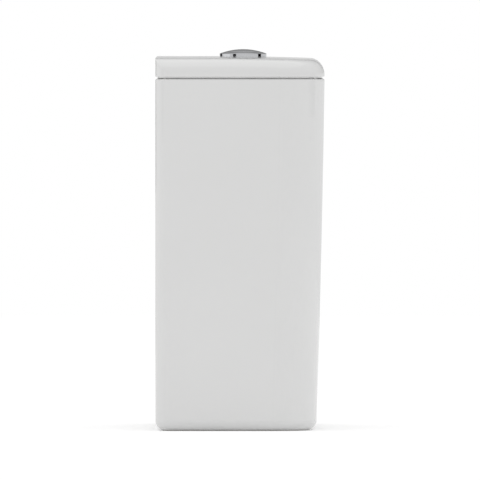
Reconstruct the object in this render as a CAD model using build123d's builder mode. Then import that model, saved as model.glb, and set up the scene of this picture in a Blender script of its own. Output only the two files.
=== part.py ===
from build123d import *
import os
from math import asin, cos, sin, sqrt

# Close-coupled toilet cistern with a dual-flush valve, in millimetres.
# The origin is the middle of the underside. +Z is up, the wall is at +Y and the front at -Y.

os.makedirs("parts", exist_ok=True)

# China: outer shape
cistern_width = 370.0
cistern_depth = 175.0
tank_height = 363.4
front_taper = 8.3
front_bow = 0.7
side_taper = 5.0
front_corner = 45.0
back_corner = 12.0
base_round = 11.0
rim_round = 1.5

# China: walls, floor and the hollow under the floor
china_wall = 10.0
floor_thickness = 11.0
inner_back_corner = 8.0
inner_rim_round = 2.0
floor_round = 6.0
recess_height = 46.0
skirt_thickness_share = 16 / 175
recess_corner = 22.0
recess_round = 8.0
overrun = 5.0

# China lid
lid_height = 21.1
lid_crown = 2.5
lid_side_round = 15.5
lid_back_round = 2.5
lid_base_round = 1.0
lid_fall_from_back = 51.5
lid_fall_radius = 3150.0
lid_rim_width = 12.0
lid_skin = 10.9
lid_edge_lift = 1.4
lid_seat_inset = 2.5
lid_lip_thickness = 5.0
lid_lip_drop = 8.0
pad_thickness = 0.7
pad_width = 4.4
pad_length = 18.0
pad_spread_share = 240 / 370

# Flush button in the lid
button_ahead_of_middle = 3.2
bezel_radius = 24.4
bezel_wall = 0.9
bezel_edge_round = 0.5
dome_radius = 68.0
dome_above_lid = 7.2
cap_radius = 19.0
cap_gap = 0.3
cap_skin = 2.0
cap_wall = 1.5
cap_depth = 10.8
cap_split_gap = 0.5
cap_split_from_axis = 3.0
cap_edge_round = 0.4
button_travel = 6.5
lid_seat_depth = 0.7
bezel_lift = 0.2
button_gasket_thick = 0.8
housing_radius = 21.0
housing_hole_gap = 0.6
housing_flange_thick = 0.9
housing_depth = 28.0
housing_web = 3.0
housing_web_depth = 15.7
backnut_radius = 29.0
backnut_height = 8.0
backnut_gap = 0.2
backnut_lobes = 12
backnut_lobe_radius = 2.5

# Push rods and springs under the buttons
rod_from_axis = 10.7
rod_radius = 2.5
rod_gap = 0.7
rod_socket_gap = 0.1
rod_cap_clearance = 3.0
boss_radius = 4.0
boss_drop = 4.0
spring_seat_radius = 5.6
spring_seat_thick = 1.2
spring_inner = 4.65
spring_outer = 5.35
spring_length = 17.0

# Rockers that turn a push into a lift
rocker_pivot_below_rim = 33.4
rocker_arm_in = 11.0
rocker_arm_out = 22.0
rocker_width = 10.0
rocker_bar = 4.0
rocker_hub_radius = 4.5
rocker_pad_radius = 3.5
rocker_bore_gap = 0.2
pin_radius = 1.5
pin_overhang = 0.6
touch_gap = 0.3

# Outlet of the flush valve, through the floor
outlet_bore_radius = 26.0
outlet_thread_radius = 29.5
outlet_hole_gap = 1.5
outlet_flange_radius = 46.0
outlet_flange_thick = 6.0
outlet_tail_above_base = 4.0
outlet_edge_round = 1.0
gasket_thick = 3.0
gasket_inset = 2.0
nut_gap = 0.2
outlet_nut_radius = 40.0
outlet_nut_height = 12.0
outlet_nut_lobes = 8
outlet_nut_lobe_radius = 5.0
coupling_seal_radius = 45.0
coupling_seal_height = 25.0
coupling_seal_taper = 8.0

# Flush sleeve, the half-flush weir
seal_thick = 3.0
seal_lip = 1.5
sleeve_radius = 35.5
sleeve_wall = 2.5
sleeve_floor = 4.0
sleeve_bore_radius = 22.0
sleeve_lip_height = 3.0
sleeve_lip_thick = 2.0
sleeve_height_share = 101 / 306.4
lift_strip_from_axis = 48.0
lift_strip_thick = 4.0
lift_strip_width = 12.0
lift_foot_height = 10.0
lift_hook_thick = 4.0
lift_hook_reach = 3.0

# Overflow tube, the inner valve
tube_radius = 12.0
tube_wall = 2.0
tube_top_below_head = 28.0
tube_foot_drop = 6.0
tube_flange_radius = 16.0
tube_flange_thick = 3.0
fit_gap = 0.3
tube_seal_radius = 30.0
retainer_radius = 27.0
retainer_thick = 4.0
tube_float_radius = 29.0
tube_float_height = 50.0
tube_float_above_retainer = 17.0
tube_float_wall = 1.5
collar_wall = 3.7
collar_height = 10.0
collar_below_tube_top = 32.0
lift_bar_height = 6.0
lift_bar_width = 8.0

# Valve cage and head
cage_radius = 45.0
cage_wall = 6.0
cage_foot = 6.0
cage_post_width = 9.0
cage_post_count = 4
cage_post_first_angle = 45.0
cage_ring_above_sleeve = 20.0
cage_ring_thick = 8.0
cage_hub_gap = 0.5
cage_hub_wall = 3.0
cage_spoke_width = 4.0
cage_rail_width = 16.0
cage_rail_thick = 5.0
head_plate_thick = 3.0
head_plate_below_pivot = 12.0
head_plate_width = 60.0
head_plate_corner = 6.0
head_opening_radius = 9.0
ear_thick = 3.0
ear_width = 10.0
ear_gap = 0.5
ear_bore_gap = 0.1

# Bolts that couple the cistern to the pan
bolt_spacing_share = 160 / 370
bolt_thread_radius = 4.0
bolt_shank_radius = 3.8
bolt_end_above_base = 4.0
bolt_thread_length = 33.0
bolt_head_radius = 8.0
bolt_head_height = 5.5
bolt_flange_radius = 11.0
bolt_flange_thick = 1.5
bolt_hole_radius = 5.5
cone_seal_height = 6.0
cone_seal_top_radius = 12.0
cone_seal_base_radius = 10.0
washer_radius = 12.0
washer_thick = 2.0
bolt_nut_flats = 13.0
bolt_nut_height = 6.5
bolt_bore_gap = 0.3

# Fill valve
fill_from_axis_share = 122 / 370
inlet_thread_radius = 10.48
inlet_neck_radius = 10.2
inlet_hole_gap = 1.5
inlet_bore_radius = 6.5
inlet_end_above_base = 5.0
inlet_thread_length = 28.0
fill_flange_radius = 18.0
fill_flange_thick = 5.0
fill_seal_thick = 3.0
fill_seal_radius = 17.0
fill_nut_flats = 30.0
fill_nut_height = 10.0
riser_radius = 8.0
riser_bore_radius = 4.0
riser_into_head = 6.0
strainer_radius = 6.1
strainer_wall = 1.3
strainer_length = 42.0
strainer_slot_width = 2.0
strainer_slot_length = 24.0
strainer_slot_count = 6
strainer_rim = 3.0
quiet_tube_radius = 13.0
quiet_tube_wall = 2.0
quiet_tube_above_flange = 15.0
fill_head_below_rim = 85.4
fill_head_radius = 16.0
fill_head_height = 22.0
fill_chamber_radius = 10.0
fill_chamber_depth = 10.0
fill_cap_radius = 17.5
fill_cap_height = 6.0
fill_cap_ribs = 24
fill_cap_rib_radius = 0.8

# Fill valve lever, plunger, float and link
lever_pivot_offset = 14.0
lever_arm = 36.0
lever_pivot_above_cap = 8.0
lever_width = 10.0
lever_thick = 3.0
lever_hub_radius = 3.0
lever_fork_end = 6.0
lever_slot_width = 4.2
lever_slot_back = 6.0
lever_ear_width = 8.0
plunger_offset = 4.5
plunger_radius = 1.8
plunger_gap = 0.2
plunger_below_cap_top = 4.0
float_drop = 12.0
float_radius = 27.0
float_bore_gap = 0.5
float_below_fill_head = 66.0
float_height = 50.0
float_wall = 1.8
float_edge_round = 2.0
link_radius = 1.5
link_above_pivot = 18.0
link_foot_radius = 4.0
link_foot_thick = 2.0
link_nut_radius = 3.5
link_nut_height = 4.0
link_nut_gap = 1.1

# Fixing to the wall
wall_screw_spacing = 200.0
wall_screw_radius = 4.0
wall_screw_below_rim = 41.4

# Places worked out from the sizes above
wall_y = cistern_depth / 2
front_y = -cistern_depth / 2
valve_y = -button_ahead_of_middle
valve_at = (0, valve_y)
fill_from_axis = cistern_width * fill_from_axis_share
fill_at = (fill_from_axis, valve_y)
bolt_spacing = cistern_width * bolt_spacing_share
pad_spread = cistern_width * pad_spread_share
skirt_thickness = cistern_depth * skirt_thickness_share
floor_top = recess_height + floor_thickness
rim_seat = tank_height + pad_thickness
lid_base = rim_seat + lid_edge_lift
lid_top = lid_base + lid_height
lid_seat = lid_top - lid_seat_depth
lid_ceiling = lid_seat - lid_skin
dome_top = lid_top + dome_above_lid
dome_centre = dome_top - dome_radius
seat_top = floor_top + gasket_thick + outlet_flange_thick
sleeve_height = (tank_height - floor_top) * sleeve_height_share
sleeve_low = seat_top + seal_thick
sleeve_top = sleeve_low + sleeve_height
cage_ring_height = sleeve_top + cage_ring_above_sleeve
rocker_pivot_height = tank_height - rocker_pivot_below_rim
head_low = rocker_pivot_height - head_plate_below_pivot
tube_top_height = head_low - tube_top_below_head
fill_head_base_height = tank_height - fill_head_below_rim
riser_top_height = fill_head_base_height + riser_into_head
float_base_height = fill_head_base_height - float_below_fill_head
wall_screw_height = tank_height - wall_screw_below_rim


def upright(low, high, outer, inner=0, at=(0, 0), mode=Mode.ADD):
    """Add an upright cylinder or tube between two heights to the part in hand."""
    with BuildSketch(Plane.XY.offset(low)) as section:
        with Locations(at):
            Circle(outer)
            if inner:
                Circle(inner, mode=Mode.SUBTRACT)
    extrude(section.sketch, amount=high - low, mode=mode)


def block(low, high, x_range, y_range, mode=Mode.ADD):
    """Add a rectangular block between two heights to the part in hand."""
    middle = ((x_range[0] + x_range[1]) / 2, (y_range[0] + y_range[1]) / 2)
    with BuildSketch(Plane.XY.offset(low)) as section:
        with Locations(middle):
            Rectangle(abs(x_range[1] - x_range[0]), abs(y_range[1] - y_range[0]))
    extrude(section.sketch, amount=high - low, mode=mode)


def turned(points, at=(0, 0), mode=Mode.ADD):
    """Turn a closed profile of (radius, height) points about an upright axis."""
    side = Plane(origin=(at[0], at[1], 0), x_dir=(1, 0, 0), z_dir=(0, -1, 0))
    with BuildSketch(side) as profile:
        with BuildLine():
            Polyline(*points, close=True)
        make_face()
    revolve(profile.sketch, axis=Axis((at[0], at[1], 0), (0, 0, 1)), mode=mode)


def across(plane_y, width, circles, mode=Mode.ADD):
    """Add short bars along Y, centred on plane_y, from (x, z, radius) circles."""
    for x, z, radius in circles:
        face_plane = Plane(origin=(x, plane_y, z), x_dir=(1, 0, 0), z_dir=(0, -1, 0))
        with BuildSketch(face_plane) as section:
            Circle(radius)
        extrude(section.sketch, amount=width / 2, both=True, mode=mode)


def lobes(low, high, ring_radius, lobe_radius, count, at):
    """Cut finger grips into the rim of a nut or cap."""
    with BuildSketch(Plane.XY.offset(low)) as section:
        with Locations(at):
            with PolarLocations(ring_radius, count):
                Circle(lobe_radius)
    extrude(section.sketch, amount=high - low, mode=Mode.SUBTRACT)


def is_upright(edge):
    """Tell the corner edges of a china block from its level edges."""
    along = edge.tangent_at(0.5)
    return abs(along.Z) > abs(along.X) + abs(along.Y)


def china_block(inset, low, high, front_radius, back_radius):
    """A block with the taper of the tank, its four sides set in, between two heights."""
    half_base = cistern_width / 2 - side_taper - inset
    half_high = half_base + side_taper * high / tank_height
    back = wall_y - inset
    front_base = front_y + front_taper + inset
    front_high = front_base - front_taper * high / tank_height
    front_middle = (front_base + front_high) / 2 - front_bow
    with BuildPart() as china:
        with BuildSketch(Plane.YZ):
            with BuildLine():
                ThreePointArc((front_base, 0), (front_middle, high / 2), (front_high, high))
                Line((front_high, high), (back, high))
                Line((back, high), (back, 0))
                Line((back, 0), (front_base, 0))
            make_face()
        extrude(amount=cistern_width / 2, both=True)
        with BuildSketch(Plane.XZ):
            with BuildLine():
                Polyline((-half_base, 0), (half_base, 0), (half_high, high), (-half_high, high), close=True)
            make_face()
        extrude(amount=cistern_depth, both=True, mode=Mode.INTERSECT)
        if low > 0:
            split(bisect_by=Plane.XY.offset(low), keep=Keep.TOP)
        corners = china.edges().filter_by(is_upright)
        fillet([edge for edge in corners if edge.center().Y < 0], front_radius)
        fillet([edge for edge in corners if edge.center().Y > 0], back_radius)
    return china


# Tank: one casting of glazed china with a floor and a recessed underside
tank_outside = china_block(0, 0, tank_height, front_corner, back_corner)
tank_inside = china_block(
    china_wall, floor_top, tank_height + overrun, front_corner - china_wall, inner_back_corner
)
with BuildPart() as floor_rounding:
    add(tank_inside.part)
    fillet(floor_rounding.faces().sort_by(Axis.Z)[0].edges(), floor_round)

recess_front = front_y + front_taper + skirt_thickness
recess_back = wall_y - skirt_thickness
recess_half_width = cistern_width / 2 - side_taper - skirt_thickness
with BuildPart() as recess:
    with BuildSketch(Plane.XY.offset(-overrun)):
        with Locations((0, (recess_front + recess_back) / 2)):
            RectangleRounded(2 * recess_half_width, recess_back - recess_front, recess_corner)
    extrude(amount=recess_height + overrun)
    fillet(recess.faces().sort_by(Axis.Z)[-1].edges(), recess_round)

with BuildPart() as cistern_tank:
    add(tank_outside.part)
    fillet(cistern_tank.faces().sort_by(Axis.Z)[0].edges(), base_round)
    fillet(cistern_tank.faces().sort_by(Axis.Z)[-1].edges(), rim_round)
    add(floor_rounding.part, mode=Mode.SUBTRACT)
    fillet(cistern_tank.faces().sort_by(Axis.Z)[-1].inner_wires()[0].edges(), inner_rim_round)
    add(recess.part, mode=Mode.SUBTRACT)
    with Locations((0, valve_y, floor_top)):
        Hole(outlet_thread_radius + outlet_hole_gap)
    with Locations((-bolt_spacing / 2, valve_y, floor_top), (bolt_spacing / 2, valve_y, floor_top)):
        Hole(bolt_hole_radius)
    with Locations((fill_from_axis, valve_y, floor_top)):
        Hole(inlet_neck_radius + inlet_hole_gap)
    screw_plane = Plane(origin=(0, wall_y, wall_screw_height), x_dir=(1, 0, 0), z_dir=(0, -1, 0))
    with BuildSketch(screw_plane.offset(-overrun)):
        with Locations((-wall_screw_spacing / 2, 0), (wall_screw_spacing / 2, 0)):
            Circle(wall_screw_radius)
    extrude(amount=china_wall + 2 * overrun, mode=Mode.SUBTRACT)

# Lid: a shallow china tray turned over, crowned from side to side and falling to the front
fall_y = wall_y - lid_fall_from_back
far_y = front_y - overrun
back_y = wall_y + overrun
crown_half = cistern_width / 2 + overrun
crown_edge = lid_top - lid_crown * (crown_half / (cistern_width / 2)) ** 2
fall_end = lid_top - lid_fall_radius + sqrt(lid_fall_radius**2 - (fall_y - far_y) ** 2)
fall_turn = (fall_y + far_y) / 2
fall_middle = lid_top - lid_fall_radius + sqrt(lid_fall_radius**2 - (fall_y - fall_turn) ** 2)
half_width = cistern_width / 2


def lid_outline(inset, front_radius, back_radius):
    """The plan of the lid, set in by inset, as a sketch on the plane in hand."""
    left = -half_width + inset
    right = half_width - inset
    front = front_y + inset
    back = wall_y - inset
    with BuildSketch() as plan:
        with BuildLine():
            Polyline((left, front), (right, front), (right, back), (left, back), close=True)
        make_face()
        fillet(plan.vertices().sort_by(Axis.Y)[:2], front_radius)
        if back_radius:
            fillet(plan.vertices().sort_by(Axis.Y)[-2:], back_radius)
    return plan.sketch


with BuildPart() as crowned_lid:
    extrude(Plane.XY.offset(lid_base) * lid_outline(0, front_corner, 0), amount=lid_height + overrun)
    with BuildLine() as fall_path:
        Line((0, back_y, lid_top), (0, fall_y, lid_top))
        ThreePointArc((0, fall_y, lid_top), (0, fall_turn, fall_middle), (0, far_y, fall_end))
    with BuildSketch(Plane.XZ.offset(-back_y)):
        with BuildLine():
            ThreePointArc((-crown_half, crown_edge), (0, lid_top), (crown_half, crown_edge))
            Line((crown_half, crown_edge), (crown_half, lid_base - overrun))
            Line((crown_half, lid_base - overrun), (-crown_half, lid_base - overrun))
            Line((-crown_half, lid_base - overrun), (-crown_half, crown_edge))
        make_face()
    sweep(path=fall_path.wires()[0], mode=Mode.INTERSECT)
    top_edges = [edge for edge in crowned_lid.edges() if min(v.Z for v in edge.vertices()) > lid_base]
    outer_edges = [edge for edge in top_edges if edge.center().Y < 0 or abs(edge.center().X) > overrun]
    fillet(outer_edges, lid_side_round)

with BuildPart() as lid_side_shape:
    with BuildSketch(Plane.YZ) as side_view:
        with BuildLine():
            Polyline((far_y, lid_base), (wall_y, lid_base), (wall_y, lid_top), (far_y, lid_top), close=True)
        make_face()
        fillet(side_view.vertices().sort_by(Axis.X)[2:].sort_by(Axis.Y)[-1], lid_back_round)
    extrude(amount=half_width, both=True)
    extrude(
        Plane.XY.offset(lid_base) * lid_outline(0, front_corner, back_corner),
        amount=lid_height,
        mode=Mode.INTERSECT,
    )

with BuildPart() as cistern_lid:
    add(crowned_lid.part)
    add(lid_side_shape.part, mode=Mode.INTERSECT)
    fillet(cistern_lid.faces().sort_by(Axis.Z)[0].edges(), lid_base_round)
    seat_corner = front_corner - lid_seat_inset
    seat_outside = lid_outline(lid_seat_inset, seat_corner, back_corner - lid_seat_inset)
    extrude(Plane.XY.offset(rim_seat) * seat_outside, amount=lid_edge_lift)
    lip_low = rim_seat - lid_lip_drop
    lip_outside = lid_outline(lid_rim_width, front_corner - lid_rim_width, inner_back_corner)
    lip_inset = lid_rim_width + lid_lip_thickness
    lip_inside = lid_outline(lip_inset, front_corner - lip_inset, inner_back_corner - lid_lip_thickness)
    extrude(Plane.XY.offset(lip_low) * lip_outside, amount=lid_base - lip_low)
    extrude(Plane.XY.offset(lip_low) * lip_inside, amount=lid_ceiling - lip_low, mode=Mode.SUBTRACT)
    upright(lid_seat, lid_top + overrun, bezel_radius + housing_hole_gap, 0, valve_at, Mode.SUBTRACT)
    upright(lid_base, lid_top, housing_radius + housing_hole_gap, 0, valve_at, Mode.SUBTRACT)

# Lid pads: four rubber strips under the rim, which leave the dark joint line
with BuildPart() as lid_pads:
    with BuildSketch(Plane.XY.offset(tank_height)):
        pad_y = cistern_depth / 2 - china_wall / 2 - (rim_round - inner_rim_round) / 2
        with Locations(*[(x, y) for x in (-pad_spread / 2, pad_spread / 2) for y in (-pad_y, pad_y)]):
            SlotOverall(pad_length, pad_width)
    extrude(amount=pad_thickness)

# Bezel: a chromed ring that clips over the flange of the housing
seat_gasket_top = lid_seat + button_gasket_thick
flange_top = seat_gasket_top + housing_flange_thick
bezel_bore = cap_radius + cap_gap
with BuildPart() as button_bezel:
    upright(lid_seat + bezel_lift, dome_top, bezel_radius, bezel_bore, valve_at)
    with Locations((0, valve_y, dome_centre)):
        Sphere(dome_radius, mode=Mode.INTERSECT)
    upright(lid_seat, flange_top, bezel_radius - bezel_wall, 0, valve_at, Mode.SUBTRACT)
    rim_edges = button_bezel.edges().filter_by(GeomType.CIRCLE)
    outer_rim = [e for e in rim_edges if e.radius > bezel_radius - bezel_wall / 2]
    fillet([e for e in outer_rim if e.center().Z > flange_top], bezel_edge_round)

with BuildPart() as bezel_gasket:
    gasket_reach = bezel_radius - bezel_wall - cap_gap
    upright(lid_seat, seat_gasket_top, gasket_reach, housing_radius + cap_gap, valve_at)

# Housing: a threaded cup that holds the two buttons, with a web that the springs push against
housing_low = flange_top - housing_depth
web_top = flange_top - housing_web_depth
rod_places = [(-rod_from_axis, valve_y), (rod_from_axis, valve_y)]
with BuildPart() as button_housing:
    upright(housing_low, flange_top, housing_radius, bezel_bore, valve_at)
    upright(seat_gasket_top, flange_top, gasket_reach, bezel_bore, valve_at)
    upright(web_top - housing_web, web_top, housing_radius, 0, valve_at)
    for place in rod_places:
        upright(web_top - housing_web, web_top, rod_radius + rod_gap, 0, place, Mode.SUBTRACT)

with BuildPart() as button_backnut:
    backnut_low = lid_ceiling - backnut_height
    upright(backnut_low, lid_ceiling, backnut_radius, housing_radius + backnut_gap, valve_at)
    lobes(
        backnut_low,
        lid_ceiling,
        backnut_radius + backnut_lobe_radius / 2,
        backnut_lobe_radius,
        backnut_lobes,
        valve_at,
    )

# Buttons: two chromed caps that share the dome of the bezel, split beside the middle
cap_low = dome_top - cap_depth
spring_top = web_top + spring_length


def button_cap(side):
    """One cap. The full-flush cap lies at side 1 and crosses the middle; the other is at side -1."""
    split_x = -cap_split_from_axis + side * cap_split_gap / 2
    rod_at = (side * rod_from_axis, valve_y)
    far_x = side * (cap_radius + overrun)
    y_range = (valve_y - cap_radius - overrun, valve_y + cap_radius + overrun)
    with BuildPart() as hollow:
        upright(cap_low, dome_top, cap_radius - cap_wall, 0, valve_at)
        block(cap_low, dome_top, (split_x + side * cap_wall, far_x), y_range, Mode.INTERSECT)
        with Locations((0, valve_y, dome_centre)):
            Sphere(dome_radius - cap_skin, mode=Mode.INTERSECT)
    with BuildPart() as cap:
        upright(cap_low, dome_top, cap_radius, 0, valve_at)
        block(cap_low, dome_top, (split_x, far_x), y_range, Mode.INTERSECT)
        add(hollow.part, mode=Mode.SUBTRACT)
        upright(spring_top - boss_drop, dome_top, boss_radius, 0, rod_at)
        upright(spring_top, dome_top - cap_skin - spring_seat_thick, spring_seat_radius, 0, rod_at)
        with Locations((0, valve_y, dome_centre)):
            Sphere(dome_radius, mode=Mode.INTERSECT)
        socket_top = dome_top - rod_cap_clearance - cap_skin
        upright(cap_low, socket_top, rod_radius + rod_socket_gap, 0, rod_at, Mode.SUBTRACT)
        dome_face = cap.faces().sort_by(Axis.Z)[-1]
        fillet(dome_face.edges(), cap_edge_round)
    return cap


full_flush_button = button_cap(1)
half_flush_button = button_cap(-1)

# Push rods: screwed into the bosses of the caps, reaching down to the rockers
tilt = asin(button_travel / 2 / rocker_arm_in)
pad_top_in = rocker_pivot_height + rocker_arm_in * sin(tilt) + rocker_pad_radius
pad_top_out = rocker_pivot_height - rocker_arm_out * sin(tilt) + rocker_pad_radius
rod_low = pad_top_in + touch_gap
rod_high = dome_top - rod_cap_clearance - cap_skin - fit_gap

with BuildPart() as full_push_rod:
    upright(rod_low, rod_high, rod_radius, 0, rod_places[1])
with BuildPart() as half_push_rod:
    upright(rod_low, rod_high, rod_radius, 0, rod_places[0])

with BuildPart() as full_button_spring:
    upright(web_top, spring_top, spring_outer, spring_inner, rod_places[1])
with BuildPart() as half_button_spring:
    upright(web_top, spring_top, spring_outer, spring_inner, rod_places[0])

# Outlet body: flange, seat and threaded tail through the floor
gasket_top = floor_top + gasket_thick
with BuildPart() as outlet_body:
    upright(outlet_tail_above_base, gasket_top, outlet_thread_radius, outlet_bore_radius, valve_at)
    upright(gasket_top, seat_top, outlet_flange_radius, outlet_bore_radius, valve_at)
    round_edges = outlet_body.edges().filter_by(GeomType.CIRCLE)
    fillet([e for e in round_edges if e.radius == outlet_flange_radius], outlet_edge_round)

with BuildPart() as outlet_gasket:
    upright(
        floor_top, gasket_top, outlet_flange_radius - gasket_inset, outlet_thread_radius + fit_gap, valve_at
    )

with BuildPart() as outlet_backnut:
    nut_low = recess_height - outlet_nut_height
    upright(nut_low, recess_height, outlet_nut_radius, outlet_thread_radius + nut_gap, valve_at)
    lobe_ring = outlet_nut_radius + outlet_nut_lobe_radius / 2
    lobes(nut_low, recess_height, lobe_ring, outlet_nut_lobe_radius, outlet_nut_lobes, valve_at)

# Coupling seal: the soft ring between the cistern and the pan
with BuildPart() as coupling_seal:
    seal_low = nut_low - coupling_seal_height
    seal_bore = outlet_thread_radius + nut_gap
    turned(
        [
            (seal_bore, seal_low),
            (coupling_seal_radius - coupling_seal_taper, seal_low),
            (coupling_seal_radius, nut_low - coupling_seal_taper),
            (coupling_seal_radius, nut_low),
            (seal_bore, nut_low),
        ],
        valve_at,
    )

# Flush sleeve: lifted whole for a full flush; its rim is the weir for a half flush
sleeve_floor_top = sleeve_low + sleeve_floor
lip_top = sleeve_floor_top + sleeve_lip_height
hook_low = pad_top_out + touch_gap
hook_top = hook_low + lift_hook_thick
pivot_from_axis = rod_from_axis + rocker_arm_in * cos(tilt)
pad_out_x = pivot_from_axis + rocker_arm_out * cos(tilt)
strip_far_x = lift_strip_from_axis + lift_strip_thick
hook_near_x = pad_out_x - lift_hook_reach
strip_y = (valve_y - lift_strip_width / 2, valve_y + lift_strip_width / 2)

with BuildPart() as flush_sleeve:
    upright(sleeve_low, sleeve_floor_top, sleeve_radius, sleeve_bore_radius, valve_at)
    upright(sleeve_floor_top, lip_top, sleeve_bore_radius + sleeve_lip_thick, sleeve_bore_radius, valve_at)
    upright(sleeve_floor_top, sleeve_top, sleeve_radius, sleeve_radius - sleeve_wall, valve_at)
    foot_low = sleeve_top - lift_foot_height
    block(foot_low, sleeve_top, (sleeve_radius - sleeve_wall / 2, strip_far_x), strip_y)
    block(foot_low, hook_top, (lift_strip_from_axis, strip_far_x), strip_y)
    block(hook_low, hook_top, (hook_near_x, strip_far_x), strip_y)

with BuildPart() as sleeve_seal:
    upright(seat_top, sleeve_low, sleeve_radius, outlet_bore_radius + seal_lip, valve_at)

with BuildPart() as overflow_tube:
    upright(lip_top - tube_foot_drop, tube_top_height, tube_radius, tube_radius - tube_wall, valve_at)
    upright(lip_top - tube_flange_thick, lip_top, tube_flange_radius, tube_radius - tube_wall, valve_at)

tube_bore_fit = tube_radius + fit_gap
tube_seal_top = lip_top + seal_thick
with BuildPart() as tube_seal:
    upright(lip_top, tube_seal_top, tube_seal_radius, tube_bore_fit, valve_at)

retainer_top = tube_seal_top + retainer_thick
with BuildPart() as seal_retainer:
    upright(tube_seal_top, retainer_top, retainer_radius, tube_bore_fit, valve_at)

# Tube float: an upturned cup that lets the tube fall only with the water
with BuildPart() as tube_float:
    float_low = retainer_top + tube_float_above_retainer
    float_high = float_low + tube_float_height
    upright(float_low, float_high, tube_float_radius, tube_bore_fit, valve_at)
    inner_wall = tube_bore_fit + tube_float_wall
    outer_wall = tube_float_radius - tube_float_wall
    upright(float_low, float_high - tube_float_wall, outer_wall, inner_wall, valve_at, Mode.SUBTRACT)

with BuildPart() as tube_lift_arm:
    collar_low = tube_top_height - collar_below_tube_top
    collar_radius = tube_bore_fit + collar_wall
    bar_y = (valve_y - lift_bar_width / 2, valve_y + lift_bar_width / 2)
    block(collar_low, collar_low + lift_bar_height, (-strip_far_x, 0), bar_y)
    block(collar_low, hook_top, (-strip_far_x, -lift_strip_from_axis), strip_y)
    block(hook_low, hook_top, (-strip_far_x, -hook_near_x), strip_y)
    upright(collar_low, collar_low + collar_height, collar_radius, 0, valve_at)
    upright(collar_low, collar_low + collar_height, tube_bore_fit, 0, valve_at, Mode.SUBTRACT)

# Valve cage: foot, posts, guide ring and rails, in one moulding
cage_middle = cage_radius - cage_wall / 2
ring_top = cage_ring_height + cage_ring_thick
hub_bore = tube_radius + cage_hub_gap
rail_y = cage_middle
with BuildPart() as valve_cage:
    upright(seat_top, seat_top + cage_foot, cage_radius, cage_radius - cage_wall, valve_at)
    upright(cage_ring_height, ring_top, cage_radius, cage_radius - cage_wall, valve_at)
    with BuildSketch(Plane.XY.offset(seat_top)):
        with Locations(valve_at):
            with PolarLocations(cage_middle, cage_post_count, cage_post_first_angle):
                Rectangle(cage_wall, cage_post_width)
    extrude(amount=ring_top - seat_top)
    with BuildSketch(Plane.XY.offset(cage_ring_height)):
        with Locations(valve_at):
            Rectangle(cage_spoke_width, 2 * cage_middle)
    extrude(amount=cage_ring_thick)
    upright(cage_ring_height, ring_top, hub_bore + cage_hub_wall, 0, valve_at)
    upright(cage_ring_height, ring_top, hub_bore, 0, valve_at, Mode.SUBTRACT)
    for side in (-1, 1):
        y_range = (
            valve_y + side * rail_y - cage_rail_thick / 2,
            valve_y + side * rail_y + cage_rail_thick / 2,
        )
        block(cage_ring_height, head_low, (-cage_rail_width / 2, cage_rail_width / 2), y_range)

# Valve head: the plate on the rails that carries the rockers
head_top = head_low + head_plate_thick
ear_y = rocker_width / 2 + ear_gap + ear_thick / 2
with BuildPart() as valve_head:
    with BuildSketch(Plane.XY.offset(head_low)):
        with Locations(valve_at):
            RectangleRounded(head_plate_width, 2 * cage_radius, head_plate_corner)
            Circle(head_opening_radius, mode=Mode.SUBTRACT)
    extrude(amount=head_plate_thick)
    for pivot_x in (-pivot_from_axis, pivot_from_axis):
        for side in (-1, 1):
            middle_y = valve_y + side * ear_y
            y_range = (middle_y - ear_thick / 2, middle_y + ear_thick / 2)
            x_range = (pivot_x - ear_width / 2, pivot_x + ear_width / 2)
            block(head_top, rocker_pivot_height, x_range, y_range)
            across(middle_y, ear_thick, [(pivot_x, rocker_pivot_height, ear_width / 2)])
            hole = [(pivot_x, rocker_pivot_height, pin_radius + ear_bore_gap)]
            across(middle_y, ear_thick + pin_overhang, hole, Mode.SUBTRACT)

with BuildPart() as rocker_pins:
    pin_length = 2 * (ear_y + ear_thick / 2 + pin_overhang)
    pins = [(x, rocker_pivot_height, pin_radius) for x in (-pivot_from_axis, pivot_from_axis)]
    across(valve_y, pin_length, pins)


def rocker(side):
    """A first-class lever: the rod pushes the inner pad and the outer pad lifts the hook."""
    along = (side * cos(tilt), 0, -sin(tilt))
    pivot = (side * pivot_from_axis, valve_y, rocker_pivot_height)
    face_plane = Plane(origin=pivot, x_dir=along, z_dir=(0, -side, 0))
    with BuildPart() as lever:
        with BuildSketch(face_plane):
            with Locations(((rocker_arm_out - rocker_arm_in) / 2, 0)):
                Rectangle(rocker_arm_out + rocker_arm_in, rocker_bar)
            with Locations((-rocker_arm_in, 0), (rocker_arm_out, 0)):
                Circle(rocker_pad_radius)
            Circle(rocker_hub_radius)
            Circle(pin_radius + rocker_bore_gap, mode=Mode.SUBTRACT)
        extrude(amount=rocker_width / 2, both=True)
    return lever


full_rocker = rocker(1)
half_rocker = rocker(-1)

# Coupling bolts, with what seals and clamps each one in the floor
bolt_places = [(-bolt_spacing / 2, valve_y), (bolt_spacing / 2, valve_y)]
bolt_thread_top = bolt_end_above_base + bolt_thread_length
cone_top = floor_top + cone_seal_height
head_base = cone_top + bolt_flange_thick
with BuildPart() as coupling_bolts:
    for place in bolt_places:
        upright(bolt_end_above_base, bolt_thread_top, bolt_thread_radius, 0, place)
        upright(bolt_thread_top, cone_top, bolt_shank_radius, 0, place)
        upright(cone_top, head_base, bolt_flange_radius, 0, place)
    with BuildSketch(Plane.XY.offset(head_base)):
        with Locations(*bolt_places):
            RegularPolygon(bolt_head_radius, side_count=6)
    extrude(amount=bolt_head_height)

with BuildPart() as bolt_cone_seals:
    for place in bolt_places:
        bore = bolt_shank_radius + bolt_bore_gap
        turned(
            [
                (bore, floor_top),
                (cone_seal_top_radius, floor_top),
                (cone_seal_base_radius, cone_top),
                (bore, cone_top),
            ],
            place,
        )

washer_low = recess_height - washer_thick
with BuildPart() as bolt_washers:
    for place in bolt_places:
        upright(washer_low, recess_height, washer_radius, bolt_shank_radius + bolt_bore_gap, place)

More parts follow.
